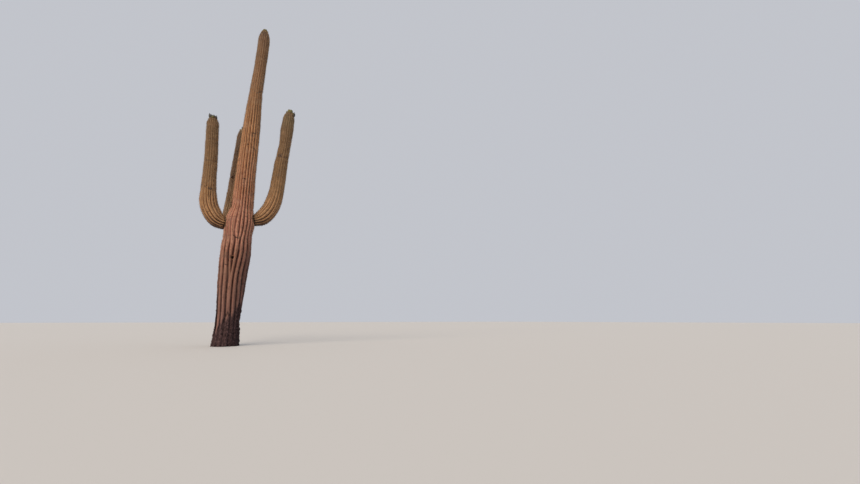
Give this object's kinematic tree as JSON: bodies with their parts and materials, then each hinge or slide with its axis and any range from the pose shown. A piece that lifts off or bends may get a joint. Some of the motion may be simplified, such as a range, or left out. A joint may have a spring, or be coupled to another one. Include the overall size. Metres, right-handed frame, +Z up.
{
  "type": "saguaro cactus",
  "caption": "Tall saguaro cactus with a ribbed, swelling trunk, upturned ribbed arms and small dark fruits on their rounded crowns, rooted at a level cut",
  "frame": {"origin": "middle of the level cut under the trunk, at ground level", "axes": "+Z up along the trunk; -Y faces the viewer of the picture, with the two side arms to -X and +X and the third arm behind, at +Y"},
  "size_m": [2.0921, 1.1748, 8.98],
  "materials": {
    "trunk_skin": "waxy, sun-browned ribbed skin, corky at the foot",
    "arm_skin": "waxy olive-brown ribbed skin",
    "spines": "dry, pale grey-brown",
    "fruit": "dark dry skin, some still yellow-green"
  },
  "bodies": {
    "root": {"trunk": "trunk_skin", "left_arm_elbow": "arm_skin", "left_arm_column": "arm_skin", "right_arm_elbow": "arm_skin", "right_arm_column": "arm_skin", "back_arm_elbow": "arm_skin", "back_arm_column": "arm_skin"}
  },
  "joints": []
}
